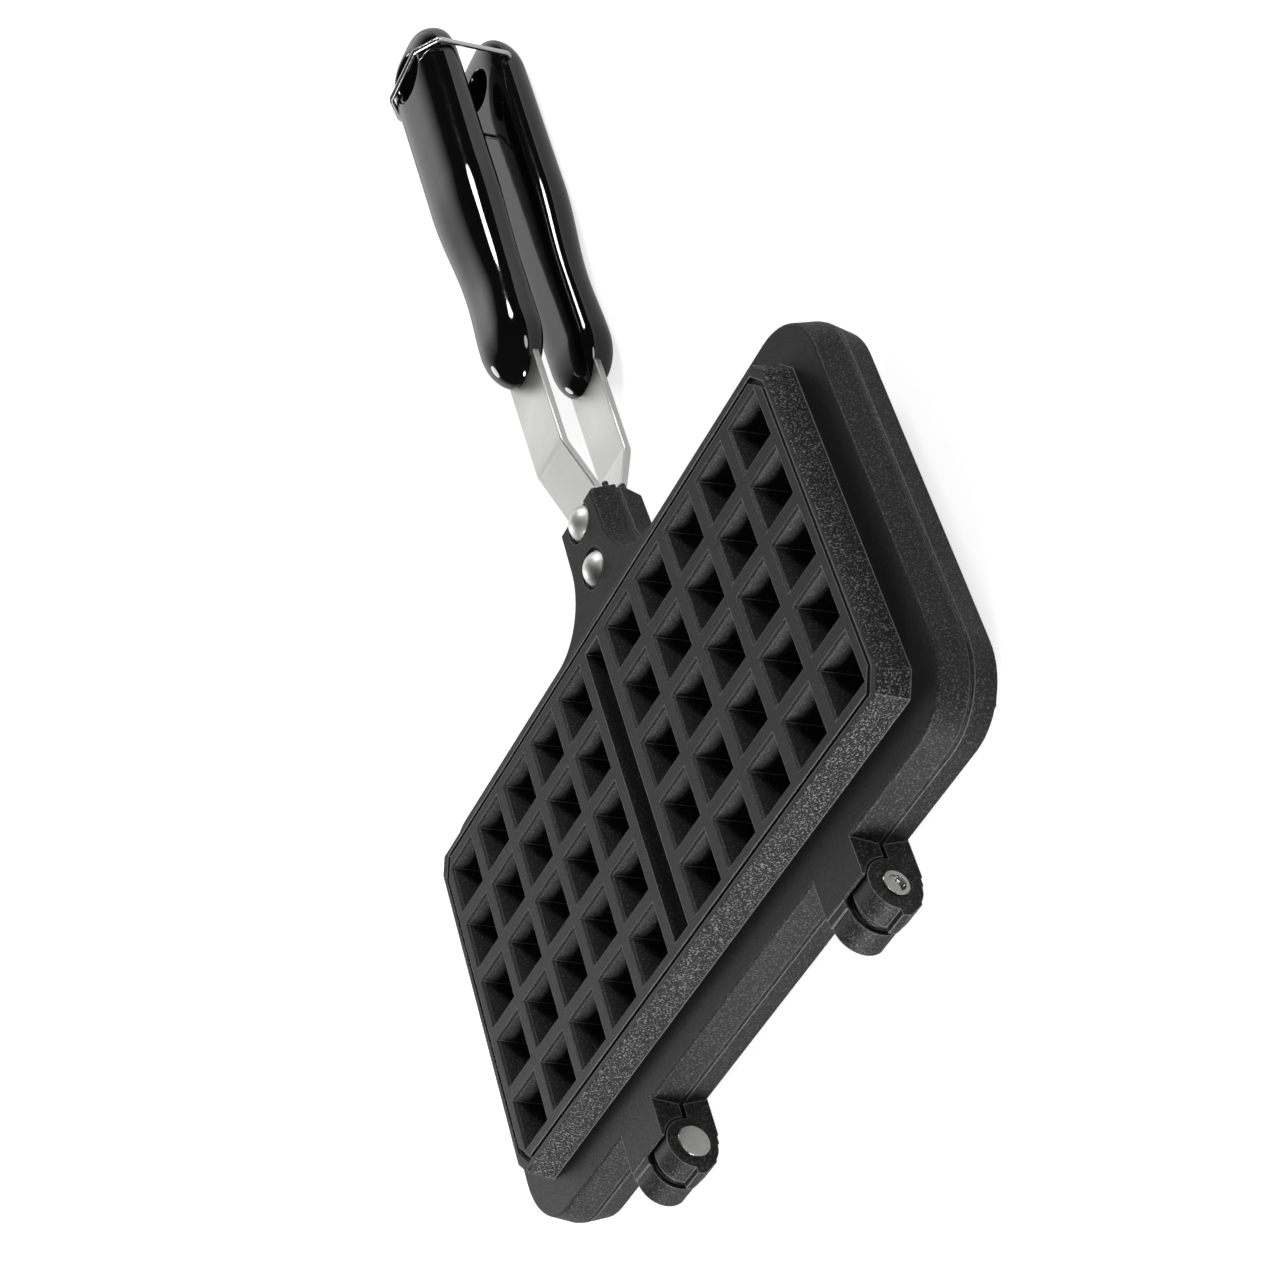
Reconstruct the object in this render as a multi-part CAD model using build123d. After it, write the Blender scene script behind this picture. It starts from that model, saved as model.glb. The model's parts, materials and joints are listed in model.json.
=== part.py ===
"""Oven waffle mold: two hinged cast-aluminium halves with strip-steel stems, moulded
handles and a wire bail that holds the handles together.

Millimetres. X runs along the long side of the plates, Y from the hinges to the handles,
Z up. The halves meet on the parting plane. Shapes are drawn in the plate frame, whose
origin is the plate centre on the parting plane, and moved at the end so that the whole
part stands on Z = 0 with its box centred on X = Y = 0.
"""
import math
import os

from build123d import *

# Flange and raised block of each plate. Length and width are at the parting plane
flange_length = 207.0
flange_width = 118.2
flange_height = 7.4
flange_draft = 12.0
flange_corner_radius = 17.5
flange_edge_round = 0.9
parting_gap = 0.2
parting_bevel = 0.5
plateau_height = 7.35
plateau_draft = 9.0
plateau_edge_round = 0.7
plateau_corner = (3.6, 4.9)

# Waffle lattice on the back of each plate, and the studs that it leaves inside
pits_per_side = 5
pit_pitch = (16.65, 17.5)
rib_width = 3.4
pit_bevel = 0.6
pit_depth = 9.5
pit_draft = 18.0
slot_rib_spacing = 10.24
slot_depth = 12.0
slot_draft = 6.0
rim_rib_width = 2.4
rim_groove_width = 1.1
rim_groove_depth = 0.9
lip_width = 1.5
casting_wall = 2.0
stud_tip_wall = 2.2

# Hinges: each half has one leaf in each hinge, and a root pad behind the other's leaf
hinge_offset = 10.3
hinge_inner = 40.3
hinge_width = 16.2
ear_width = 6.4
arm_width = 7.2
leaf_gap = 0.3
eye_radius = 6.5
eye_clearance = 0.5
arm_underside = 3.6
spacer_radius = 5.2
root_height = 6.95
pad_reach = 8.3
pad_edge_round = 0.4
stop_reach = 7.9
stop_top = 0.9
stop_slope = ((5.0, 4.8), (7.5, 1.6))
stop_bottom = 5.9
pin_diameter = 5.0
pin_clearance = 0.08
pin_head_diameter = 8.0
pin_head_height = 1.0
pin_tail_diameter = 6.3
pin_tail_height = 0.6
pin_cup_diameter = 4.2
pin_cup_depth = 1.0
pin_head_gap = 0.15

# Handle lug on each plate, with the channel that takes the stem. Widths are at the parting
lug_length = 28.4
lug_end_width = 20.2
lug_root_width = 21.4
lug_fillet = 15.9
channel_clearance = 0.15
lug_roof = 3.0
nib_diameter = 1.6
nib_inset = 0.25
nib_reach = 1.3
rivet_pitch = 15.0
rivet_end_distance = 4.9
rivet_shank = 4.5
rivet_head_diameter = 9.0
rivet_head_height = 3.0
rivet_tail_diameter = 7.0
rivet_tail_height = 1.4
rivet_seat_diameter = 10.8
rivet_seat_depth = 0.8

# Stems: flat steel strip, cranked outwards between the lug and the handle
stem_width = 15.0
stem_thickness = 2.0
stem_rise = 5.5
stem_crank_start = 1.3
stem_crank_run = 15.0
stem_bend_radius = 6.0
stem_in_handle = 42.0

# Handles, one per half: a rounded bar with a waist and a hole through the end.
# Each station is its distance from the handle's front, half width and thickness
handle_start = 44.0
handle_length = 133.2
handle_inner_height = 4.6
bulge_station = (15.0, 10.8, 12.1)
waist_station = (34.5, 10.7, 11.3)
grip_station = (71.0, 12.9, 12.9)
end_half_width = 13.5
end_thickness = 12.7
section_inner_share = (0.5, 0.38)
section_outer_share = 0.65
steps_between_stations = 4
front_angles = (15, 30, 45, 60, 75)
end_angles = (72, 54, 36, 20)
end_width_power = 0.8
end_inner_power = 0.4
hole_from_end = 15.6
hang_hole_diameter = 12.4
hang_hole_outer_round = 2.0
hang_hole_inner_round = 0.6

# Bail: bent wire that pivots in the lower handle and closes over the upper one
wire_diameter = 1.5
bail_pivot_depth = 8.9
bail_bar_half = 8.6
bail_shoulder = 5.2
bail_arm_clearance = 0.45
bail_bar_clearance = 0.3
bail_hole_depth = 5.0
bail_hole_clearance = 0.08
bail_bend = 1.6

half_height = flange_height + plateau_height
side_start = parting_gap / 2 + parting_bevel
flange_lean = math.tan(math.radians(flange_draft))
plateau_lean = math.tan(math.radians(plateau_draft))
pit_lean = math.tan(math.radians(pit_draft))
plate_edge = flange_width / 2
top_edge = plate_edge - flange_height * flange_lean
hinge_y = -(plate_edge + hinge_offset)
hinge_outer = hinge_inner + hinge_width
leaf_space = hinge_width - arm_width - ear_width
lug_end_y = plate_edge + lug_length
handle_y = lug_end_y + handle_start
handle_end_y = handle_y + handle_length
hole_y = handle_end_y - hole_from_end
pit_block_length = pits_per_side * pit_pitch[0]
pit_block_width = pits_per_side * pit_pitch[1]
pit_block_start = slot_rib_spacing / 2
strip_top = flange_height - lug_roof
strip_level = strip_top - stem_thickness / 2
tang_level = strip_level + stem_rise
inner_rivet_y = lug_end_y - rivet_end_distance - rivet_pitch
outer_rivet_y = lug_end_y - rivet_end_distance
stem_start_y = inner_rivet_y - stem_width / 2
end_radius = handle_inner_height + end_thickness + bail_pivot_depth
bail_radius = end_radius + bail_bar_clearance + wire_diameter / 2
bail_half_width = end_half_width + bail_arm_clearance + wire_diameter / 2
bail_tip = end_half_width - bail_hole_depth
part_bottom = max(handle_inner_height + grip_station[2], half_height)
part_centre_y = (handle_end_y + hinge_y - stop_reach) / 2
placing = Pos(0, -part_centre_y, part_bottom)


def box(x0, x1, y0, y1, z0, z1):
    """Axis-aligned box between two corners."""
    return Pos((x0 + x1) / 2, (y0 + y1) / 2, (z0 + z1) / 2) * Box(x1 - x0, y1 - y0, z1 - z0)


def rod(radius, x0, x1, y, z):
    """Cylinder along X between two ends, given in either order."""
    return Pos((x0 + x1) / 2, y, z) * Rot(0, 90, 0) * Cylinder(radius, abs(x1 - x0))


def disc(radius, y, z0, z1):
    """Cylinder along Z on the centre line."""
    return Pos(0, y, (z0 + z1) / 2) * Cylinder(radius, z1 - z0)


def stump(size, top, depth, draft):
    """Rectangular pyramid stump that narrows downwards from its top."""
    return extrude(Pos(0, 0, top) * Rectangle(*size), depth, dir=(0, 0, -1), taper=draft)


def pit_size(depth):
    """Width along X and Y of a pit at a depth under the lattice top, below its bevel."""
    shrink = 2 * pit_bevel + 2 * (depth - pit_bevel) * pit_lean
    return tuple(pitch - rib_width - shrink for pitch in pit_pitch)


def stud_size(depth):
    """Width along X and Y of a stud at a depth under the lattice top: a pit and its walls."""
    wall = 2 * casting_wall / math.cos(math.radians(pit_draft))
    return tuple(size + wall for size in pit_size(depth))


def pit_centres():
    """Centres of all the pits, block by block."""
    for side in (-1, 1):
        for i in range(pits_per_side):
            for j in range(pits_per_side):
                x = side * (pit_block_start + (i + 0.5) * pit_pitch[0])
                y = (j - (pits_per_side - 1) / 2) * pit_pitch[1]
                yield x, y


def plateau_size():
    """Half length and half width of the raised block at its top."""
    border = rim_rib_width - rib_width / 2 + rim_groove_width + lip_width
    return pit_block_start + pit_block_length + border, pit_block_width / 2 + border


def cornered_outline(half_x, half_y):
    """Rectangle with its four corners cut off at a slant."""
    cut_x, cut_y = plateau_corner
    corner = [(half_x, half_y - cut_y), (half_x - cut_x, half_y)]
    points = corner + [(-x, y) for x, y in reversed(corner)]
    points += [(-x, -y) for x, y in corner] + [(x, -y) for x, y in reversed(corner)]
    return make_face(Polyline(*points, close=True))


def lug_outline():
    """Plan of the lug, flared where it meets the long side of the flange."""
    root = lug_root_width / 2
    flare = root + lug_fillet
    inside = plate_edge - lug_fillet
    half = make_face([
        Line((0, inside), (flare, inside)),
        Line((flare, inside), (flare, plate_edge)),
        RadiusArc((flare, plate_edge), (root, plate_edge + lug_fillet), lug_fillet),
        Line((root, plate_edge + lug_fillet), (lug_end_width / 2, lug_end_y)),
        Line((lug_end_width / 2, lug_end_y), (0, lug_end_y)),
        Line((0, lug_end_y), (0, inside)),
    ])
    return half + mirror(half, about=Plane.YZ)


def plate_body():
    """Flange, lug and raised block, solid, with drafted sides and rounded edges."""
    outline = RectangleRounded(flange_length, flange_width, flange_corner_radius) + lug_outline()
    widest = Pos(0, 0, side_start) * outline
    flange = extrude(widest, flange_height - side_start, taper=flange_draft)
    flange = fillet(flange.faces().sort_by(Axis.Z)[-1].edges(), flange_edge_round)
    flange = flange + extrude(widest, parting_bevel, dir=(0, 0, -1), taper=45)
    half_x, half_y = plateau_size()
    spread = plateau_height * plateau_lean
    base = Pos(0, 0, flange_height) * cornered_outline(half_x + spread, half_y + spread)
    plateau = extrude(base, plateau_height, taper=plateau_draft)
    plateau = fillet(plateau.faces().sort_by(Axis.Z)[-1].edges(), plateau_edge_round)
    return flange + plateau


def rim_groove():
    """Narrow groove between the outer rib and the lip of the raised block."""
    half_x, half_y = plateau_size()
    outer = cornered_outline(half_x - lip_width, half_y - lip_width)
    inset = lip_width + rim_groove_width
    inner = cornered_outline(half_x - inset, half_y - inset)
    return extrude(Pos(0, 0, half_height - rim_groove_depth) * (outer - inner), 2 * rim_groove_depth)


def centre_slot():
    """Deep tapered groove between the two pit blocks."""
    mouth = (slot_rib_spacing - rib_width, pit_block_width - rib_width)
    return stump(mouth, half_height, slot_depth, slot_draft)


def pit():
    """One pit: a bevelled mouth over a steep pyramid stump."""
    top = tuple(pitch - rib_width for pitch in pit_pitch)
    mouth = stump(top, half_height, pit_bevel, 45)
    return mouth + stump(pit_size(pit_bevel), half_height - pit_bevel, pit_depth - pit_bevel, pit_draft)


def stud():
    """One stud of the waffle side: the pit's walls and tip, solid."""
    length = pit_depth + stud_tip_wall - casting_wall
    return stump(stud_size(casting_wall), half_height - casting_wall, length, pit_draft)


def waffle_cavity(side):
    """Space for one waffle in one half, before the studs are put in."""
    half_x, half_y = plateau_size()
    near = (slot_rib_spacing - rib_width) / 2 + casting_wall
    x0, x1 = sorted((side * near, side * (half_x - casting_wall)))
    deep = half_y - casting_wall
    return box(x0, x1, -deep, deep, 0, half_height - casting_wall)


def stem_channel():
    """Channel in the parting side of the lug that the strip lies in, open at the lug's end."""
    half = stem_width / 2 + channel_clearance
    return box(-half, half, stem_start_y - channel_clearance, lug_end_y + nib_reach, 0, strip_top)


def channel_nib(side):
    """Small round nib on the end of the lug, beside the channel's mouth."""
    x = side * (stem_width / 2 + channel_clearance + nib_inset + nib_diameter / 2)
    z = strip_level - stem_thickness / 2
    root = lug_end_y - lug_roof
    length = lug_end_y + nib_reach - root
    return Pos(x, root + length / 2, z) * Rot(90, 0, 0) * Cylinder(nib_diameter / 2, length)


def leaf_spans(lower):
    """Side and near and far ends in X of this half's leaves: outboard in one hinge,
    inboard in the other."""
    width = ear_width if lower else arm_width
    for side in (1, -1):
        outboard = (side == 1) == lower
        near = hinge_outer - width if outboard else hinge_inner
        yield side, near, near + width, outboard


def hinge_leaf(side, near, far, outboard):
    """Leaf with its eye, its root and a short boss that faces the other leaf."""
    x0, x1 = sorted((side * near, side * far))
    boss = (leaf_space - leaf_gap) / 2
    boss_near, boss_far = (near - boss, near) if outboard else (far, far + boss)
    root = box(x0, x1, hinge_y, flange_edge_round - top_edge, side_start, root_height)
    eye = rod(eye_radius, x0, x1, hinge_y, 0)
    return eye + root + rod(spacer_radius, side * boss_near, side * boss_far, hinge_y, 0)


def hinge_stop(side, near, far):
    """Tab behind the eye that the other half's root pad meets when the mold is wide open."""
    (slope_y, slope_z), (edge_y, edge_z) = stop_slope
    outline = [
        (0, -stop_top),
        (-stop_reach, -stop_top),
        (-stop_reach, stop_top),
        (-edge_y, edge_z),
        (-slope_y, slope_z),
        (0, stop_bottom),
    ]
    plane = Plane(origin=(min(side * near, side * far), hinge_y, 0), x_dir=(0, 1, 0), z_dir=(1, 0, 0))
    return extrude(plane * make_face(Polyline(*outline, close=True)), far - near)


def root_pad(side):
    """Pad as wide as the hinge that reaches over the other half's eye."""
    x0, x1 = sorted((side * hinge_inner, side * hinge_outer))
    pad = box(x0, x1, -plate_edge - pad_reach, flange_edge_round - top_edge, side_start, flange_height)
    tip = pad.edges().group_by(Axis.Z)[-1].group_by(Axis.Y)[0]
    return fillet(tip, pad_edge_round)


def half_plate(lower):
    """One cast half, drawn above the parting plane."""
    plate = plate_body() + [root_pad(side) for side in (1, -1)]
    hollow = eye_radius + eye_clearance
    plate = plate - [
        rod(hollow, side * (hinge_inner - leaf_gap), side * (hinge_outer + leaf_gap), hinge_y, 0)
        for side in (1, -1)
    ]
    for side, near, far, outboard in leaf_spans(lower):
        plate = plate + hinge_leaf(side, near, far, outboard)
        if lower:
            plate = plate + hinge_stop(side, near, far)
        else:
            x0, x1 = sorted((side * hinge_inner, side * hinge_outer))
            plate = plate - box(x0, x1, 2 * hinge_y, -plate_edge, -2 * eye_radius, -arm_underside)
    bore = pin_diameter / 2 if lower else pin_diameter / 2 + pin_clearance
    plate = plate - rod(bore, -2 * hinge_outer, 2 * hinge_outer, hinge_y, 0)
    plate = plate - [waffle_cavity(side) for side in (-1, 1)]
    plate = plate + [Pos(x, y, 0) * stud() for x, y in pit_centres()]
    plate = plate - [Pos(x, y, 0) * pit() for x, y in pit_centres()]
    plate = plate - [centre_slot(), rim_groove(), stem_channel()]
    plate = plate + [channel_nib(side) for side in (1, -1)]
    for y in (inner_rivet_y, outer_rivet_y):
        plate = plate - disc(rivet_shank / 2, y, 0, half_height)
        plate = plate - disc(rivet_seat_diameter / 2, y, flange_height - rivet_seat_depth, half_height)
    return plate


def stem():
    """Cranked strip: flat in the lug, sloped outwards, then flat into the handle."""
    bend = lug_end_y + stem_crank_start
    path = FilletPolyline(
        (0, stem_start_y, strip_level),
        (0, bend, strip_level),
        (0, bend + stem_crank_run, tang_level),
        (0, handle_y + stem_in_handle, tang_level),
        radius=stem_bend_radius,
    )
    start = Plane(origin=(0, stem_start_y, strip_level), x_dir=(1, 0, 0), z_dir=(0, 1, 0))
    return sweep(start * Rectangle(stem_width, stem_thickness), path=path)


def drilled_stem():
    """Strip with its two rivet holes."""
    return stem() - [disc(rivet_shank / 2, y, 0, flange_height) for y in (inner_rivet_y, outer_rivet_y)]


def rivet(y):
    """Round-head rivet: dome on the lug, tail clenched on the strip in the channel."""
    seat = flange_height - rivet_seat_depth
    top = seat + rivet_head_height
    tail_top = strip_top - stem_thickness
    head_radius = rivet_head_diameter / 2
    ball_radius = (head_radius**2 + rivet_head_height**2) / (2 * rivet_head_height)
    head = Pos(0, y, top - ball_radius) * Sphere(ball_radius) & disc(rivet_head_diameter, y, seat, top)
    shank = disc(rivet_shank / 2, y, tail_top, seat)
    return head + shank + disc(rivet_tail_diameter / 2, y, tail_top - rivet_tail_height, tail_top)


def hinge_pin(side):
    """Pin with a flat head inboard and a cupped, swaged tail outboard.
    It is tight in the lower half's ear and clears the upper half's arm."""
    arm_inboard = side == 1
    head_x = side * (hinge_inner - (pin_head_gap if arm_inboard else 0))
    tail_x = side * (hinge_outer + (0 if arm_inboard else pin_head_gap))
    tail_end = tail_x + side * pin_tail_height
    head = rod(pin_head_diameter / 2, head_x - side * pin_head_height, head_x, hinge_y, 0)
    shank = rod(pin_diameter / 2, head_x, tail_x, hinge_y, 0)
    tail = rod(pin_tail_diameter / 2, tail_x, tail_end, hinge_y, 0)
    cup = rod(pin_cup_diameter / 2, tail_end - side * pin_cup_depth, tail_end, hinge_y, 0)
    return head + shank + tail - cup


def handle_section(y, half_width, z_inner, z_outer):
    """Closed section across the bar: flat faces joined by quarter ellipses."""
    thickness = z_outer - z_inner
    inner_x = section_inner_share[0] * half_width
    inner_z = section_inner_share[1] * thickness
    outer_x = section_outer_share * half_width
    outer_z = thickness - inner_z
    widest_z = z_inner + inner_z
    flat_in = half_width - inner_x
    flat_out = half_width - outer_x
    wire = [
        Line((-flat_in, z_inner), (flat_in, z_inner)),
        EllipticalCenterArc((flat_in, widest_z), inner_x, inner_z, 270, arc_size=90),
        EllipticalCenterArc((flat_out, widest_z), outer_x, outer_z, 0, arc_size=90),
        Line((flat_out, z_outer), (-flat_out, z_outer)),
        EllipticalCenterArc((-flat_out, widest_z), outer_x, outer_z, 90, arc_size=90),
        EllipticalCenterArc((-flat_in, widest_z), inner_x, inner_z, 180, arc_size=90),
    ]
    plane = Plane(origin=(0, y, 0), x_dir=(-1, 0, 0), z_dir=(0, 1, 0))
    return plane * make_face(wire)


def front_stations():
    """Sections of the rounded front, which the stem enters: a quarter ellipse up to the bulge."""
    front_length, half_width, thickness = bulge_station
    for angle in front_angles:
        share = math.sin(math.radians(angle))
        yield (
            front_length * (1 - math.cos(math.radians(angle))),
            half_width * share,
            tang_level - (tang_level - handle_inner_height) * share,
            tang_level + (handle_inner_height + thickness - tang_level) * share,
        )


def end_stations():
    """Sections of the rounded end. Its outer face is a quarter ellipse that stays under the
    bail's swing, and its inner face is blunter."""
    below = section_inner_share[1] * end_thickness
    middle = handle_inner_height + below
    for angle in end_angles:
        share = math.sin(math.radians(angle))
        yield (
            handle_length - hole_from_end * (1 - math.cos(math.radians(angle))),
            end_half_width * share**end_width_power,
            middle - below * share**end_inner_power,
            middle + (end_thickness - below) * share,
        )


def body_stations():
    """Sections from the bulge to the hole, eased in and out of each named station."""
    inner = handle_inner_height
    end_station = (handle_length - hole_from_end, end_half_width, end_thickness)
    named = [bulge_station, waist_station, grip_station, end_station]
    for start, stop in zip(named, named[1:]):
        for step in range(steps_between_stations):
            part = step / steps_between_stations
            eased = (1 - math.cos(math.pi * part)) / 2
            along = start[0] + (stop[0] - start[0]) * part
            half_width = start[1] + (stop[1] - start[1]) * eased
            thickness = start[2] + (stop[2] - start[2]) * eased
            yield along, half_width, inner, inner + thickness
    yield end_station[0], end_half_width, inner, inner + end_thickness


def handle_blank():
    """The moulded bar without its holes: a smooth skin through sections along it."""
    stations = [*front_stations(), *body_stations(), *end_stations()]
    return loft([handle_section(handle_y + along, *sizes) for along, *sizes in stations])


def hang_hole():
    """Hole through the end of the bar, flared at both mouths."""
    radius = hang_hole_diameter / 2
    inner_z = handle_inner_height
    outer_z = handle_inner_height + end_thickness
    inner_x = radius + hang_hole_inner_round
    outer_x = radius + hang_hole_outer_round
    low = inner_z - hang_hole_inner_round
    high = outer_z + hang_hole_outer_round
    profile = make_face([
        Line((0, low), (inner_x, low)),
        Line((inner_x, low), (inner_x, inner_z)),
        CenterArc((inner_x, inner_z + hang_hole_inner_round), hang_hole_inner_round, 270, -90),
        Line((radius, inner_z + hang_hole_inner_round), (radius, outer_z - hang_hole_outer_round)),
        CenterArc((outer_x, outer_z - hang_hole_outer_round), hang_hole_outer_round, 180, -90),
        Line((outer_x, outer_z), (outer_x, high)),
        Line((outer_x, high), (0, high)),
        Line((0, high), (0, low)),
    ])
    return Pos(0, hole_y, 0) * revolve(Plane.XZ * profile, Axis.Z)


def handle(lower):
    """Bar moulded round the stem's tang; the lower one has the bail's pivot holes."""
    bar = handle_blank() - stem() - hang_hole()
    if lower:
        radius = wire_diameter / 2 + bail_hole_clearance
        for side in (-1, 1):
            bar = bar - rod(radius, side * bail_tip, side * bail_half_width, hole_y, bail_pivot_depth)
    return bar


def bail():
    """Wire bent to a bar, two shoulders, two arms and two inward ends."""
    bar_z = bail_radius - bail_pivot_depth
    right = [
        (bail_bar_half, hole_y, bar_z),
        (bail_half_width, hole_y, bar_z - bail_shoulder),
        (bail_half_width, hole_y, -bail_pivot_depth),
        (bail_tip + bail_hole_clearance, hole_y, -bail_pivot_depth),
    ]
    left = [(-x, y, z) for x, y, z in reversed(right)]
    path = FilletPolyline(*left, *right, radius=bail_bend)
    start = Plane(origin=left[0], z_dir=(-1, 0, 0))
    return sweep(start * Circle(wire_diameter / 2), path=path)


def main():
    os.makedirs("parts", exist_ok=True)
    nodes = {}
    for name, lower in (("lower", True), ("upper", False)):
        pieces = {
            "plate": half_plate(lower),
            "stem": drilled_stem(),
            "handle": handle(lower),
            "inner_rivet": rivet(inner_rivet_y),
            "outer_rivet": rivet(outer_rivet_y),
        }
        for piece, shape in pieces.items():
            nodes[f"{name}_{piece}"] = mirror(shape, about=Plane.XY) if lower else shape
    nodes["right_hinge_pin"] = hinge_pin(1)
    nodes["left_hinge_pin"] = hinge_pin(-1)
    nodes["bail"] = bail()
    for name, shape in nodes.items():
        export_step(placing * shape, f"parts/{name}.step")
    print("hinge axis", (0, hinge_y - part_centre_y, part_bottom))
    print("bail axis", (0, hole_y - part_centre_y, part_bottom - bail_pivot_depth))


if __name__ == "__main__":
    main()
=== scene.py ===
"""Looks of the oven waffle mold: coated cast-aluminium plates, steel stems, moulded handles,
rivets, hinge pins and the wire bail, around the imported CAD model.

Shapes are worked out in millimetres in the plate frame, whose origin is the plate centre on
the parting plane, and written to their meshes in metres in the CAD frame.
"""
import json

import bmesh
import bpy
import numpy as np
from mathutils import Matrix


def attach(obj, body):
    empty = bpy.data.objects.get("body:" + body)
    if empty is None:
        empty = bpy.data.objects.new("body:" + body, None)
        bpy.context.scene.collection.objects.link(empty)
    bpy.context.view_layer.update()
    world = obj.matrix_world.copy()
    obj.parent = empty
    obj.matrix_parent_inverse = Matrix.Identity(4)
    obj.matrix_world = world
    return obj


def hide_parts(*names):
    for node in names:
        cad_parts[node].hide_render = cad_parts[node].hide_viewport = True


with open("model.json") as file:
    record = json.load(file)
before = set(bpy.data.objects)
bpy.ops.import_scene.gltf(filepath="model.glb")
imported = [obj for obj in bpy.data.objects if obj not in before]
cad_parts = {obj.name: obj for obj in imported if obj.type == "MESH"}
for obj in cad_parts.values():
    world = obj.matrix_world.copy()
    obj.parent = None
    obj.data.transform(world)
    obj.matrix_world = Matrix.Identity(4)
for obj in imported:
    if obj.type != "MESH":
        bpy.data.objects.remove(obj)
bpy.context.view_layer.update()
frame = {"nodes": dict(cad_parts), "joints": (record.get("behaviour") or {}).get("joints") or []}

# Where the plate frame lies in the CAD frame, read from the main hinge
HINGE_Y = -69.4
main_hinge = next(joint for joint in frame["joints"] if joint["name"] == "main_hinge")
PLACE = np.array([0.0, main_hinge["pos_m"][1] * 1000 - HINGE_Y, main_hinge["pos_m"][2] * 1000])

# Plates: the flange's outer face above the parting plane, and half the sides of the pitted area
FLANGE_TOP = 7.4
LATTICE_HALF = (89.5, 45.5)

# Stems, riveted into the handle lugs: the crank's bends are measured from the lug's end, and
# the tang's length from the handle's front
STRIP_LEVEL = 3.4
TANG_LEVEL = 8.9
LUG_END = 87.5
STEM_WIDTH = 15.0
STEM_THICKNESS = 2.0
STEM_EDGE_ROUND = 0.45
STEM_START = 60.1
CRANK_START = 1.3
CRANK_STOP = 16.3
TANG_LENGTH = 42.0
CRANK_BEND = 6.0

# Rivets: the head is sunk a little into the lug, and its dome ends in a rolled edge
RIVET_YS = {"inner": 67.6, "outer": 82.6}
RIVET_HEAD_RADIUS = 4.5
RIVET_HEAD_HEIGHT = 3.0
RIVET_DOME_EDGE = 4.35
RIVET_SHANK = 2.2
RIVET_SINK = 0.8
RIVET_GRIP = 3.0

# Handle, measured from its front: distance, half width and thickness at each station
HANDLE_FRONT = 131.5
HANDLE_INNER = 4.6
FRONT_LENGTH = 15.0
BODY_STATIONS = np.array([
    (15.0, 10.8, 12.1),
    (34.5, 10.7, 11.3),
    (71.0, 12.9, 12.9),
    (117.6, 13.5, 12.7),
])
HOLE_ALONG = 117.6
END_REACH = 14.65

# Powers of the quarter circle at the handle's end, for its width, inner side and outer side
END_POWERS = (0.65, 0.35, 0.82)

# Handle section: where it is widest, as a share of its thickness from the inner side, and the
# exponents of its superellipse on the outer and the inner side
WIDEST_SHARE = 0.38
OUTER_SQUARENESS = 3.3
INNER_SQUARENESS = 4.8

# Cut between the handle's tube and the surfaces round its hole: see handle_end_along
CUT_ANGLE = -1.2
CUT_REACH = 12.0

# Hanging hole
HOLE_RADIUS = 6.2
OUTER_MOUTH_ROUND = 2.0
INNER_MOUTH_ROUND = 0.6

# Bail: its wire's middle line in X and Z, from one pivot hole to the other
WIRE_RADIUS = 0.75
BAIL_LINE = np.array([
    (-8.58, -8.9), (-14.45, -8.9), (-14.45, 12.9), (-8.6, 17.9),
    (8.6, 17.9), (14.45, 12.9), (14.45, -8.9), (8.58, -8.9),
])
BAIL_BEND = 1.6

# Hinge pins: the head's and the tail's radius and thickness, the tail's cup as its mouth's
# radius, its floor's radius and its depth into the shank, and where head and tail start in X
PIN_HEAD = (4.0, 1.0)
PIN_SHANK = 2.5
PIN_TAIL = (3.15, 0.6)
PIN_CUP = (2.1, 1.9, 0.4)
PIN_EDGE_ROUND = 0.16
PINS = {"right_hinge_pin": (40.15, 56.5), "left_hinge_pin": (-40.3, -56.65)}


def colour(code):
    """sRGB hex as a linear colour."""
    levels = np.array([int(code[i:i + 2], 16) for i in (1, 3, 5)]) / 255
    linear = np.where(levels <= 0.04045, levels / 12.92, ((levels + 0.055) / 1.055) ** 2.4)
    return (*linear.tolist(), 1.0)


def add(tree, kind, inputs=None, **settings):
    """Adds one node. An input is a value, or another node's output to link from."""
    made = tree.nodes.new(kind)
    for name, value in settings.items():
        setattr(made, name, value)
    for name, value in (inputs or {}).items():
        if isinstance(value, bpy.types.NodeSocket):
            tree.links.new(value, made.inputs[name])
        else:
            made.inputs[name].default_value = value
    return made


def per_metre(size_mm):
    """Texture scale at which one cell of a pattern has this size."""
    return 1000 / size_mm


def new_material(name):
    """Empty material with its output node."""
    made = bpy.data.materials.new(name)
    made.use_nodes = True
    made.node_tree.nodes.clear()
    return made, made.node_tree, made.node_tree.nodes.new("ShaderNodeOutputMaterial")


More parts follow.
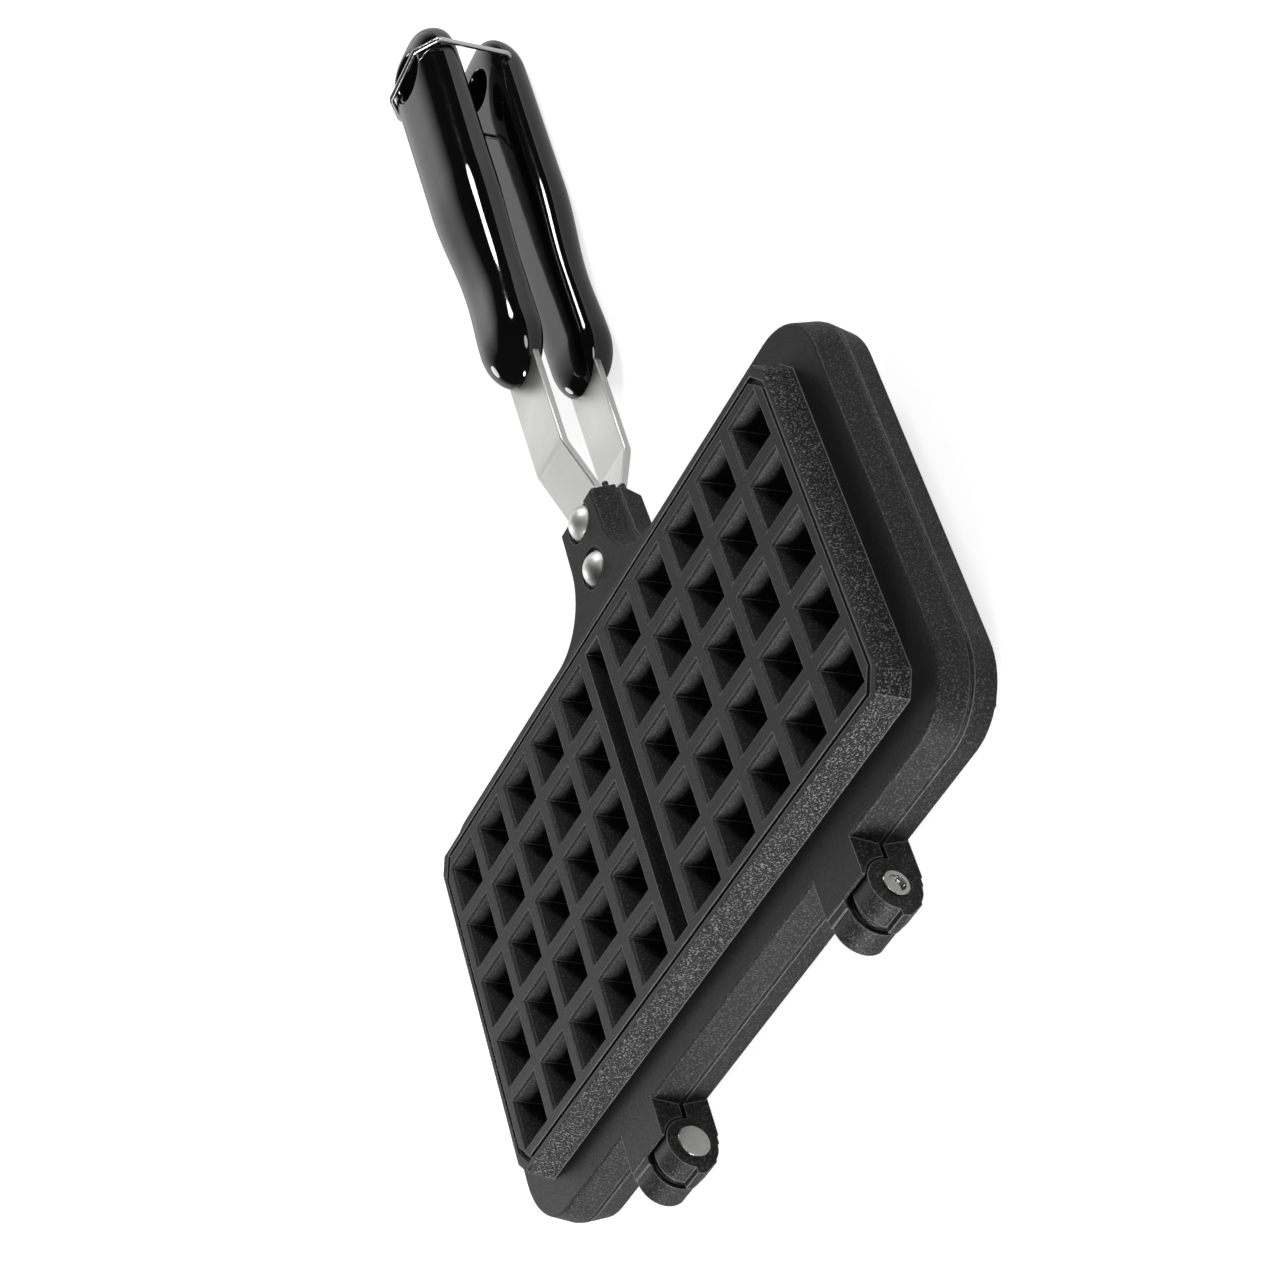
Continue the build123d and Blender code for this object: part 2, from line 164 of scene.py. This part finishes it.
def coated_aluminium():
    """Sand-cast aluminium under a satin black fluoropolymer coat. The ground faces of the
    ribs and flange are smooth, the drafted walls keep the sand's grain, coarsest on the
    raised block, and the coat is thin and lighter on the grains' tips and the edges: partly
    wear, partly painted glints on the grain and a painted highlight along the edges."""
    made, tree, output = new_material("satin_black_coated_cast_aluminium")
    place = add(tree, "ShaderNodeTexCoord")
    # Sand grains of about 0.3 mm, drawn at 0.45 mm so that they show in the render
    grain = add(tree, "ShaderNodeTexNoise", {
        "Vector": place.outputs["Object"], "Scale": per_metre(0.45),
        "Detail": 1.0, "Roughness": 0.5,
    })
    blotch = add(tree, "ShaderNodeTexNoise", {
        "Vector": place.outputs["Object"], "Scale": per_metre(14.0), "Detail": 2.0,
    })
    # Smooth where a face lies flat, sandy where it stands
    facing = add(tree, "ShaderNodeSeparateXYZ", {0: place.outputs["Normal"]})
    upright = add(tree, "ShaderNodeMath", {0: facing.outputs["Z"]}, operation="ABSOLUTE")
    sandy = add(tree, "ShaderNodeMapRange", {
        "Value": upright.outputs[0], "From Min": 0.985, "From Max": 0.9,
        "To Min": 0.1, "To Max": 1.0,
    })
    # Coarser on the raised blocks, beyond the flanges' faces, which also gives them more of the
    # painted glint specks
    level = add(tree, "ShaderNodeSeparateXYZ", {0: place.outputs["Object"]})
    height = add(tree, "ShaderNodeMath", {
        0: level.outputs["Z"], 1: PLACE[2] / 1000,
    }, operation="SUBTRACT")
    height = add(tree, "ShaderNodeMath", {0: height.outputs[0]}, operation="ABSOLUTE")
    block = add(tree, "ShaderNodeMapRange", {
        "Value": height.outputs[0],
        "From Min": FLANGE_TOP / 1000, "From Max": (FLANGE_TOP + 0.8) / 1000,
        "To Min": 0.3, "To Max": 1.0,
    })
    # Finer inside the pits, which the coat fills better, and with fewer of the painted glint specks
    across = add(tree, "ShaderNodeMath", {0: level.outputs["X"]}, operation="ABSOLUTE")
    across = add(tree, "ShaderNodeMath", {
        0: across.outputs[0], 1: LATTICE_HALF[0] / 1000,
    }, operation="DIVIDE")
    beside = add(tree, "ShaderNodeMath", {
        0: level.outputs["Y"], 1: PLACE[1] / 1000,
    }, operation="SUBTRACT")
    beside = add(tree, "ShaderNodeMath", {
        0: beside.outputs[0], 1: LATTICE_HALF[1] / 1000,
    }, operation="DIVIDE")
    beside = add(tree, "ShaderNodeMath", {0: beside.outputs[0]}, operation="ABSOLUTE")
    out = add(tree, "ShaderNodeMath", {
        0: across.outputs[0], 1: beside.outputs[0],
    }, operation="MAXIMUM")
    shelter = add(tree, "ShaderNodeMapRange", {
        "Value": out.outputs[0], "From Min": 0.995, "From Max": 1.005,
        "To Min": 0.2, "To Max": 1.0,
    })
    coarse = add(tree, "ShaderNodeMath", {
        0: sandy.outputs[0], 1: block.outputs[0],
    }, operation="MULTIPLY")
    coarse = add(tree, "ShaderNodeMath", {
        0: coarse.outputs[0], 1: shelter.outputs[0],
    }, operation="MULTIPLY")
    # Lighter where the rounded normal leaves the true one, at the edges: partly worn coat, partly a
    # painted edge highlight
    rounded = add(tree, "ShaderNodeBevel", {"Radius": 0.00045}, samples=6)
    geometry = add(tree, "ShaderNodeNewGeometry")
    agreement = add(tree, "ShaderNodeVectorMath", {
        0: rounded.outputs[0], 1: geometry.outputs["Normal"],
    }, operation="DOT_PRODUCT")
    edge = add(tree, "ShaderNodeMapRange", {
        "Value": agreement.outputs["Value"], "From Min": 0.995, "From Max": 0.86,
    })
    # Light grey specks on the grain's tips on the standing walls: partly thin coat, partly painted
    # glints of light on the grain
    speck = add(tree, "ShaderNodeMapRange", {
        "Value": grain.outputs["Fac"], "From Min": 0.54, "From Max": 0.68,
    })
    bare_and_glint_specks = add(tree, "ShaderNodeMath", {
        0: speck.outputs[0], 1: coarse.outputs[0],
    }, operation="MULTIPLY")
    coat = add(tree, "ShaderNodeMix", {
        0: blotch.outputs["Fac"], 6: colour("#171717"), 7: colour("#202020"),
    }, data_type="RGBA")
    specked = add(tree, "ShaderNodeMix", {
        0: bare_and_glint_specks.outputs[0], 6: coat.outputs[2], 7: colour("#808080"),
    }, data_type="RGBA")
    # The edges' light grey is partly wear and partly a painted highlight
    worn_and_highlit_edge = add(tree, "ShaderNodeMix", {
        0: edge.outputs[0], 6: specked.outputs[2], 7: colour("#8a8a8a"),
    }, data_type="RGBA")
    rough = add(tree, "ShaderNodeMapRange", {
        "Value": grain.outputs["Fac"], "From Min": 0.3, "From Max": 0.7,
        "To Min": 0.56, "To Max": 0.44,
    })
    relief = add(tree, "ShaderNodeBump", {
        "Height": grain.outputs["Fac"], "Normal": rounded.outputs[0],
        "Strength": coarse.outputs[0], "Distance": 0.0003,
    })
    shader = add(tree, "ShaderNodeBsdfPrincipled", {
        "Base Color": worn_and_highlit_edge.outputs[2], "Roughness": rough.outputs[0], "Normal": relief.outputs[0],
        "IOR": 1.35,
    })
    tree.links.new(shader.outputs[0], output.inputs["Surface"])
    return made


def moulded_phenolic():
    """Compression-moulded black phenolic, polished: a deep gloss with the faintest flow
    waves and a few dust specks in the surface."""
    made, tree, output = new_material("polished_black_phenolic")
    place = add(tree, "ShaderNodeTexCoord")
    flow = add(tree, "ShaderNodeTexNoise", {
        "Vector": place.outputs["Object"], "Scale": per_metre(9.0), "Detail": 1.0,
    })
    dust = add(tree, "ShaderNodeTexNoise", {
        "Vector": place.outputs["Object"], "Scale": per_metre(1.6), "Detail": 2.0,
    })
    tint = add(tree, "ShaderNodeMix", {
        0: flow.outputs["Fac"], 6: colour("#040404"), 7: colour("#0a0a0a"),
    }, data_type="RGBA")
    rough = add(tree, "ShaderNodeMapRange", {
        "Value": dust.outputs["Fac"], "From Min": 0.45, "From Max": 0.75,
        "To Min": 0.05, "To Max": 0.09,
    })
    wave = add(tree, "ShaderNodeBump", {
        "Height": flow.outputs["Fac"], "Strength": 0.25, "Distance": 0.00012,
    })
    shader = add(tree, "ShaderNodeBsdfPrincipled", {
        "Base Color": tint.outputs[2], "Roughness": rough.outputs[0], "Normal": wave.outputs[0],
        "IOR": 1.6,
    })
    tree.links.new(shader.outputs[0], output.inputs["Surface"])
    return made


def bright_metal(name, light, dark, grain_mm, stretch, gloss):
    """Bare bright metal. Its grain is stretched along one axis by drawing, rolling or
    turning, and shows in the colour and a shallow bump; the roughness varies in broad smudges."""
    made, tree, output = new_material(name)
    place = add(tree, "ShaderNodeTexCoord")
    along = add(tree, "ShaderNodeMapping", {"Vector": place.outputs["Object"], "Scale": stretch})
    grain = add(tree, "ShaderNodeTexNoise", {
        "Vector": along.outputs[0], "Scale": per_metre(grain_mm), "Detail": 3.0,
    })
    smudge = add(tree, "ShaderNodeTexNoise", {
        "Vector": place.outputs["Object"], "Scale": per_metre(11.0), "Detail": 2.0,
    })
    tint = add(tree, "ShaderNodeMix", {
        0: grain.outputs["Fac"], 6: colour(dark), 7: colour(light),
    }, data_type="RGBA")
    rough = add(tree, "ShaderNodeMapRange", {
        "Value": smudge.outputs["Fac"], "From Min": 0.3, "From Max": 0.7,
        "To Min": gloss, "To Max": gloss + 0.08,
    })
    lines = add(tree, "ShaderNodeBump", {
        "Height": grain.outputs["Fac"], "Strength": 0.3, "Distance": 0.00003,
    })
    shader = add(tree, "ShaderNodeBsdfPrincipled", {
        "Base Color": tint.outputs[2], "Metallic": 1.0, "Roughness": rough.outputs[0],
        "Normal": lines.outputs[0],
    })
    tree.links.new(shader.outputs[0], output.inputs["Surface"])
    return made


def grid_faces(rows, columns, closed_rows=False, closed_columns=False):
    """Quads of a grid whose vertices are numbered row by row."""
    r = np.arange(rows if closed_rows else rows - 1)
    c = np.arange(columns if closed_columns else columns - 1)
    r, c = np.meshgrid(r, c, indexing="ij")
    down, right = (r + 1) % rows, (c + 1) % columns
    quads = (r * columns + c, down * columns + c, down * columns + right, r * columns + right)
    return np.stack(quads, axis=-1).reshape(-1, 4)


def write_piece(name, grids, body, nodes, material, lower=False):
    """Makes one object of several grids of points, each with its faces. Points that meet
    are merged and the faces are turned outwards. The lower half is the upper one's mirror."""
    points, faces, start = [], [], 0
    for grid, quads in grids:
        flat = np.asarray(grid, float).reshape(-1, 3)
        points.append(flat)
        faces.append(np.asarray(quads) + start)
        start += len(flat)
    points, faces = np.concatenate(points), np.concatenate(faces)
    if lower:
        points = points * (1, 1, -1)
    mesh = bpy.data.meshes.new(name)
    mesh.from_pydata(((points + PLACE) / 1000).tolist(), [], faces.tolist())
    shell = bmesh.new()
    shell.from_mesh(mesh)
    bmesh.ops.remove_doubles(shell, verts=shell.verts, dist=1e-6)
    bmesh.ops.recalc_face_normals(shell, faces=shell.faces)
    shell.to_mesh(mesh)
    shell.free()
    mesh.polygons.foreach_set("use_smooth", np.ones(len(mesh.polygons), bool))
    mesh.materials.append(material)
    made = bpy.data.objects.new(name, mesh)
    bpy.context.scene.collection.objects.link(made)
    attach(made, body)
    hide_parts(*nodes)
    return made


def handle_size(along):
    """Half width, inner level and outer level of the bar at a distance from its front.

    The front is a quarter ellipse of the bulge about the tang. The body eases by a cosine
    from station to station. The end is rounded by powers of a quarter circle: blunt in plan
    and on the inner side, rounder on the outer side, where the bail swings past."""
    along = np.asarray(along, float)
    starts, stops = BODY_STATIONS[:-1], BODY_STATIONS[1:]
    leg = np.clip(np.searchsorted(starts[:, 0], along, side="right") - 1, 0, len(starts) - 1)
    part = np.clip((along - starts[leg, 0]) / (stops[leg, 0] - starts[leg, 0]), 0, 1)
    eased = ((1 - np.cos(np.pi * part)) / 2)[..., None]
    sizes = starts[leg, 1:] + (stops[leg, 1:] - starts[leg, 1:]) * eased
    half_width, thickness = np.moveaxis(sizes, -1, 0)
    front = np.sqrt(1 - np.clip(1 - along / FRONT_LENGTH, 0, 1) ** 2)
    inner = TANG_LEVEL - (TANG_LEVEL - HANDLE_INNER) * front
    outer = TANG_LEVEL + (HANDLE_INNER + thickness - TANG_LEVEL) * front
    share = np.sqrt(1 - np.clip((along - HOLE_ALONG) / END_REACH, 0, 1) ** 2)
    middle = inner + WIDEST_SHARE * (outer - inner)
    width_power, inner_power, outer_power = END_POWERS
    return (
        half_width * front * share**width_power,
        middle - (middle - inner) * share**inner_power,
        middle + (outer - middle) * share**outer_power,
    )


def handle_skin(turn, along, outer_side):
    """Point of the bar's skin. turn runs from one edge to the other as the arcsine of the
    place across, and the section is a superellipse, squarer on the inner side."""
    half_width, inner, outer = handle_size(along)
    middle = inner + WIDEST_SHARE * (outer - inner)
    across = np.sin(turn)
    rise = (outer if outer_side else inner) - middle
    squareness = OUTER_SQUARENESS if outer_side else INNER_SQUARENESS
    height = np.sqrt(np.clip(1 - np.abs(across) ** squareness, 0, 1))
    return np.stack([half_width * across, HANDLE_FRONT + along, middle + rise * height], -1)


def handle_end_along(angle):
    """Distance from the front for a place along the end, told as an angle: negative from
    the cut to the hole's centre, and up to a quarter turn at the tip."""
    return HOLE_ALONG + np.where(angle < 0, CUT_REACH * angle, END_REACH * np.sin(angle))


def turn_at(across, along):
    """Turn of a skin point that lies this far across the bar."""
    return np.arcsin(across / handle_size(along)[0])


def handle_grids():
    """Skin of the bar in five surfaces: the outer and inner sides of a tube from the front
    to a cut before the hole, and round the hole on each side, rays from its mouth to the
    edges of the end, laid out straight in turn and angle; then the bore."""
    turns = np.linspace(-np.pi / 2, np.pi / 2, 65)
    dome = FRONT_LENGTH * (1 - np.cos(np.linspace(0, np.pi / 2, 36)))
    body = np.linspace(FRONT_LENGTH, handle_end_along(CUT_ANGLE), 160)[1:]
    along, turn = np.meshgrid(np.concatenate([dome, body]), turns, indexing="ij")
    grids = [(handle_skin(turn, along, outer_side), grid_faces(*turn.shape))
             for outer_side in (True, False)]

    # Edges of the end, laid out: the cut, one side, the tip (one point in space), the other side
    angles = np.linspace(CUT_ANGLE, np.pi / 2, 60)
    up, back, down = angles[1:], turns[::-1][1:], angles[::-1][1:-1]
    edge = np.concatenate([
        np.stack([turns, np.full(len(turns), CUT_ANGLE)], -1),
        np.stack([np.full(len(up), np.pi / 2), up], -1),
        np.stack([back, np.full(len(back), np.pi / 2)], -1),
        np.stack([np.full(len(down), -np.pi / 2), down], -1),
    ])
    way = np.arctan2(edge[:, 1], edge[:, 0])
    unit = np.stack([np.cos(way), np.sin(way)], -1)
    rings = []
    for outer_side, mouth in ((True, OUTER_MOUTH_ROUND), (False, INNER_MOUTH_ROUND)):
        start = HOLE_RADIUS + mouth
        near = start - mouth * np.cos(np.linspace(0, np.pi / 2, 9)[:-1])
        plan = unit[:, None] * near[None, :, None]
        lip_along = HOLE_ALONG + plan[..., 1]
        lip = handle_skin(turn_at(plan[..., 0], lip_along), lip_along, outer_side)
        drop = mouth - np.sqrt(mouth**2 - (start - near) ** 2)
        lip[..., 2] += (-drop if outer_side else drop)[None]
        first_across, first_along = (unit * start).T
        first_turn = turn_at(first_across, HOLE_ALONG + first_along)
        first_angle = np.where(
            first_along < 0, first_along / CUT_REACH,
            np.arcsin(np.clip(first_along, 0, None) / END_REACH),
        )
        part = np.linspace(0, 1, 40)[None]
        ray_turn = first_turn[:, None] * (1 - part) + edge[:, :1] * part
        ray_angle = first_angle[:, None] * (1 - part) + edge[:, 1:] * part
        rays = handle_skin(ray_turn, handle_end_along(ray_angle), outer_side)
        skin = np.concatenate([lip, rays], 1)
        grids.append((skin, grid_faces(*skin.shape[:2], closed_rows=True)))
        rings.append(skin[:, 0])
    depth = np.linspace(0, 1, 9)[None, :, None]
    bore = rings[0][:, None] * (1 - depth) + rings[1][:, None] * depth
    grids.append((bore, grid_faces(*bore.shape[:2], closed_rows=True)))
    return grids


def bent_line(corners, radius, step):
    """Points along a line of straight runs joined by arcs: each corner gives way to the arc
    that touches both of its runs."""
    corners = np.asarray(corners, float)
    parts = [corners[:1]]
    for before, corner, after in zip(corners, corners[1:], corners[2:]):
        back, on = before - corner, after - corner
        back, on = back / np.linalg.norm(back), on / np.linalg.norm(on)
        half = np.arccos(np.clip(back @ on, -1, 1)) / 2
        centre = corner + (back + on) / np.linalg.norm(back + on) * radius / np.sin(half)
        turn = np.pi - 2 * half
        angles = np.linspace(-turn / 2, turn / 2, max(5, int(radius * turn / step)))
        towards = corner - centre
        towards = towards / np.linalg.norm(towards)
        side = on - towards * (on @ towards)
        side = side / np.linalg.norm(side)
        arc = centre + radius * (np.cos(angles)[:, None] * towards + np.sin(angles)[:, None] * side)
        parts += [arc[:1] + back * step / 4, arc, arc[-1:] + on * step / 4]
    parts.append(corners[-1:])
    return np.concatenate(parts)


def carried(profile, line, side):
    """A closed profile carried along a flat line: its first coordinate goes along side, the
    line's normal, and its second square to the line. Both ends are closed by a middle point."""
    line, side = np.asarray(line, float), np.asarray(side, float)
    runs = np.diff(line, axis=0)
    runs = runs / np.linalg.norm(runs, axis=1, keepdims=True)
    along = np.concatenate([runs[:1], runs[:-1] + runs[1:], runs[-1:]])
    along = along / np.linalg.norm(along, axis=1, keepdims=True)
    square = np.cross(side, along)
    skin = line[:, None] + profile[None, :, :1] * side + profile[None, :, 1:] * square[:, None]
    skin = np.concatenate([np.broadcast_to(line[:1, None], skin[:1].shape), skin,
                           np.broadcast_to(line[-1:, None], skin[:1].shape)])
    return skin, grid_faces(*skin.shape[:2], closed_columns=True)


def rounded_strip(width, thickness, radius):
    """Section of a strip: a rectangle with quarter-round corners."""
    angles = np.linspace(0, np.pi / 2, 7)
    quarter = radius * np.stack([np.cos(angles), np.sin(angles)], -1)
    inset = radius / 8
    quarter = np.concatenate([quarter[:1] - (0, inset), quarter, quarter[-1:] - (inset, 0)])
    centre = np.array([width / 2 - radius, thickness / 2 - radius])
    corners = [
        (quarter + centre),
        (quarter * (-1, 1) + centre * (-1, 1))[::-1],
        -(quarter + centre),
        (quarter * (1, -1) + centre * (1, -1))[::-1],
    ]
    return np.concatenate(corners)


def turned(profile, centre, axis, across, sides=72):
    """A profile of (radius, distance along the axis) turned round the axis. The first and
    last points lie on the axis, so that the piece is closed."""
    profile, axis, across = (np.asarray(v, float) for v in (profile, axis, across))
    angles = np.linspace(0, 2 * np.pi, sides, endpoint=False)
    other = np.cross(axis, across)
    ring = np.cos(angles)[:, None] * across + np.sin(angles)[:, None] * other
    radii, places = profile[:, None, :1], profile[:, None, 1:]
    skin = np.asarray(centre, float) + radii * ring[None] + places * axis
    return skin, grid_faces(*skin.shape[:2], closed_columns=True)


def rivet_grids(y):
    """Round-head rivet: a low dome with a rolled edge on the lug, a clenched tail inside."""
    seat = FLANGE_TOP - RIVET_SINK
    top = seat + RIVET_HEAD_HEIGHT
    ball = (RIVET_HEAD_RADIUS**2 + RIVET_HEAD_HEIGHT**2) / (2 * RIVET_HEAD_HEIGHT)
    reach = np.linspace(0, np.arcsin(RIVET_DOME_EDGE / ball), 24)
    dome = np.stack([ball * np.sin(reach), top - ball * (1 - np.cos(reach))], -1)
    tail_seat = FLANGE_TOP - RIVET_GRIP - STEM_THICKNESS
    foot = np.array([
        (RIVET_HEAD_RADIUS, seat + 0.12), (RIVET_HEAD_RADIUS - 0.08, seat),
        (RIVET_SHANK, seat), (RIVET_SHANK, tail_seat),
        (3.4, tail_seat), (3.5, tail_seat - 0.15), (3.45, tail_seat - 0.7),
        (3.1, tail_seat - 1.15), (2.2, tail_seat - 1.35), (0.0, tail_seat - 1.4),
    ])
    return [turned(np.concatenate([dome, foot]), (0, y, 0), (0, 0, 1), (1, 0, 0))]


def pin_grids(head_x, tail_x):
    """Hinge pin: flat head with a broken edge, shank, and a swaged tail with a cup in it."""
    way = np.sign(tail_x)
    length = abs(tail_x - head_x)
    head, head_thickness = PIN_HEAD
    tail, tail_thickness = PIN_TAIL
    mouth, floor, depth = PIN_CUP
    corners = [
        (0, -head_thickness), (head, -head_thickness), (head, 0), (PIN_SHANK, 0),
        (PIN_SHANK, length), (tail, length), (tail, length + tail_thickness),
        (mouth, length + tail_thickness), (floor, length - depth), (0, length - depth),
    ]
    profile = bent_line(corners, PIN_EDGE_ROUND, PIN_EDGE_ROUND / 6)
    return [turned(profile, (head_x, HINGE_Y, 0), (way, 0, 0), (0, 1, 0))]


coat = coated_aluminium()
phenolic = moulded_phenolic()
EVEN = (1.0, 1.0, 1.0)
strip_steel = bright_metal(
    "satin_rolled_strip_steel", "#ececea", "#e4e4e2", 0.5, (1.0, 0.04, 1.0), 0.36)
rivet_aluminium = bright_metal(
    "headed_bright_aluminium", "#f6f6f4", "#ececea", 1.4, EVEN, 0.5)
pin_steel = bright_metal(
    "turned_bright_steel", "#dededc", "#c4c4c2", 0.6, EVEN, 0.22)
wire_steel = bright_metal(
    "drawn_bright_wire", "#e4e4e2", "#cfcfcd", 0.4, (0.1, 0.1, 0.1), 0.18)

for half in ("lower", "upper"):
    plate = frame["nodes"][f"{half}_plate"]
    plate.data.materials.clear()
    plate.data.materials.append(coat)

stem_line = bent_line([
    (0, STEM_START, STRIP_LEVEL), (0, LUG_END + CRANK_START, STRIP_LEVEL),
    (0, LUG_END + CRANK_STOP, TANG_LEVEL), (0, HANDLE_FRONT + TANG_LENGTH, TANG_LEVEL),
], CRANK_BEND, 0.4)
stem_section = rounded_strip(STEM_WIDTH, STEM_THICKNESS, STEM_EDGE_ROUND)
circle = np.linspace(0, 2 * np.pi, 24, endpoint=False)
wire_section = WIRE_RADIUS * np.stack([np.cos(circle), np.sin(circle)], -1)
bail_line = bent_line([(x, HANDLE_FRONT + HOLE_ALONG, z) for x, z in BAIL_LINE], BAIL_BEND, 0.2)

for half in ("lower", "upper"):
    is_lower = half == "lower"
    body = f"{half}_half"
    write_piece(f"{half}_handle_moulding", handle_grids(), body, [f"{half}_handle"],
                phenolic, is_lower)
    write_piece(f"{half}_stem_strip", [carried(stem_section, stem_line, (1, 0, 0))], body,
                [f"{half}_stem"], strip_steel, is_lower)
    for place, y in RIVET_YS.items():
        write_piece(f"{half}_{place}_rivet_turned", rivet_grids(y), body,
                    [f"{half}_{place}_rivet"], rivet_aluminium, is_lower)
for name, ends in PINS.items():
    write_piece(f"{name}_turned", pin_grids(*ends), "lower_half", [name],
                pin_steel)
write_piece("bail_wire_bent", [carried(wire_section, bail_line, (0, 1, 0))], "bail",
            ["bail"], wire_steel)


def paper_floor():
    """White paper sweep: matt, and lifted to white where the camera, a mirror or a clear
    surface sees it, with the object's shadow kept."""
    made, tree, output = new_material("white_paper_floor")
    path = add(tree, "ShaderNodeLightPath")
    seen = add(tree, "ShaderNodeMath", {
        0: path.outputs["Is Glossy Ray"], 1: path.outputs["Is Transmission Ray"],
    }, operation="MAXIMUM")
    mirrored = add(tree, "ShaderNodeMath", {0: seen.outputs[0], 1: 0.15}, operation="MULTIPLY")
    lifted = add(tree, "ShaderNodeMath", {
        0: path.outputs["Is Camera Ray"], 1: 0.75, 2: mirrored.outputs[0],
    }, operation="MULTIPLY_ADD")
    matt = add(tree, "ShaderNodeBsdfDiffuse", {"Color": colour("#e6e6e6")})
    lift = add(tree, "ShaderNodeEmission", {
        "Color": colour("#ffffff"), "Strength": lifted.outputs[0],
    })
    both = add(tree, "ShaderNodeAddShader", {0: matt.outputs[0], 1: lift.outputs[0]})
    tree.links.new(both.outputs[0], output.inputs["Surface"])
    return made


FLOOR_HALF = 6.0
floor_mesh = bpy.data.meshes.new("floor")
floor_corners = FLOOR_HALF * np.array([(-1, -1, 0), (1, -1, 0), (1, 1, 0), (-1, 1, 0)])
floor_mesh.from_pydata(floor_corners.tolist(), [], [(0, 1, 2, 3)])
floor_mesh.materials.append(paper_floor())
floor = bpy.data.objects.new("floor", floor_mesh)
bpy.context.scene.collection.objects.link(floor)

# Backdrop and room: white to the camera. Reflections see it bright only towards the backdrop,
# that is where the camera looks, and dark on the camera's own side
BACKDROP_WAY = (-0.634, 0.609, -0.476)
world = bpy.data.worlds.new("studio")
bpy.context.scene.world = world
world.use_nodes = True
world.node_tree.nodes.clear()
sky = world.node_tree
path = add(sky, "ShaderNodeLightPath")
way = add(sky, "ShaderNodeTexCoord")
ahead = add(sky, "ShaderNodeVectorMath", {
    0: way.outputs["Generated"], 1: BACKDROP_WAY,
}, operation="DOT_PRODUCT")
mirrored = add(sky, "ShaderNodeMapRange", {
    "Value": ahead.outputs["Value"], "From Min": 0.25, "From Max": 0.63,
    "To Min": 0.03, "To Max": 1.05,
})
glossy = add(sky, "ShaderNodeMath", {
    0: path.outputs["Is Glossy Ray"], 1: path.outputs["Is Transmission Ray"],
}, operation="MAXIMUM")
room = add(sky, "ShaderNodeMix", {
    "Factor": glossy.outputs[0], "A": 0.12, "B": mirrored.outputs[0],
}, data_type="FLOAT")
level = add(sky, "ShaderNodeMath", {
    0: room.outputs[0], 1: path.outputs["Is Camera Ray"],
}, operation="MAXIMUM")
light = add(sky, "ShaderNodeBackground", {
    "Color": colour("#ffffff"), "Strength": level.outputs[0],
})
add(sky, "ShaderNodeOutputWorld", {"Surface": light.outputs[0]})


def soft_box(name, place, target, size, power, mirrored=True):
    """Oval soft box that faces a point. One that isn't mirrored only fills in shadows."""
    data = bpy.data.lights.new(name, "AREA")
    data.shape = "ELLIPSE"
    data.size, data.size_y = size
    data.energy = power
    made = bpy.data.objects.new(name, data)
    bpy.context.scene.collection.objects.link(made)
    place, target = np.array(place, float), np.array(target, float)
    back = (place - target) / np.linalg.norm(place - target)
    right = np.cross((0, 0, 1), back)
    right = right / np.linalg.norm(right)
    matrix = np.eye(4)
    matrix[:3, :3] = np.stack([right, np.cross(back, right), back], -1)
    matrix[:3, 3] = place
    made.matrix_world = Matrix(matrix.tolist())
    made.visible_camera = False
    made.visible_glossy = mirrored


soft_box("front_box", (-0.35, -1.3, 0.26), (0, -0.05, 0.02), (0.5, 0.3), 19)
soft_box("right_box", (1.3, -0.3, 0.29), (0, 0, 0.02), (0.6, 0.3), 3.2)
soft_box("top_box", (-0.95, 0.3, 1.15), (0, 0.05, 0.02), (0.8, 0.8), 1.8, mirrored=False)
soft_box("side_box", (-3.2, 1.12, 2.12), (0, 0.05, 0.02), (1.2, 1.2), 26)
soft_box("strip_box", (0.54, 0.70, 0.58), (0, 0.1, 0.02), (0.24, 0.24), 4)

# Camera as fitted to the photograph: its axes in rows, and its place in the CAD frame
camera_data = bpy.data.cameras.new("camera")
camera_data.lens = 88.67
camera_data.sensor_width = 36.0
camera = bpy.data.objects.new("camera", camera_data)
bpy.context.scene.collection.objects.link(camera)
bpy.context.scene.camera = camera
camera_axes = np.array([
    [0.41921976, -0.24600944, -0.87391884],
    [0.64949878, 0.75384313, 0.09935728],
    [0.63435488, -0.60926176, 0.47580877],
])
camera_matrix = np.eye(4)
camera_matrix[:3, :3] = camera_axes.T
camera_matrix[:3, 3] = (0.47728, -0.50670, 0.37592)
camera.matrix_world = Matrix(camera_matrix.tolist())

bpy.context.scene.view_settings.view_transform = "Standard"
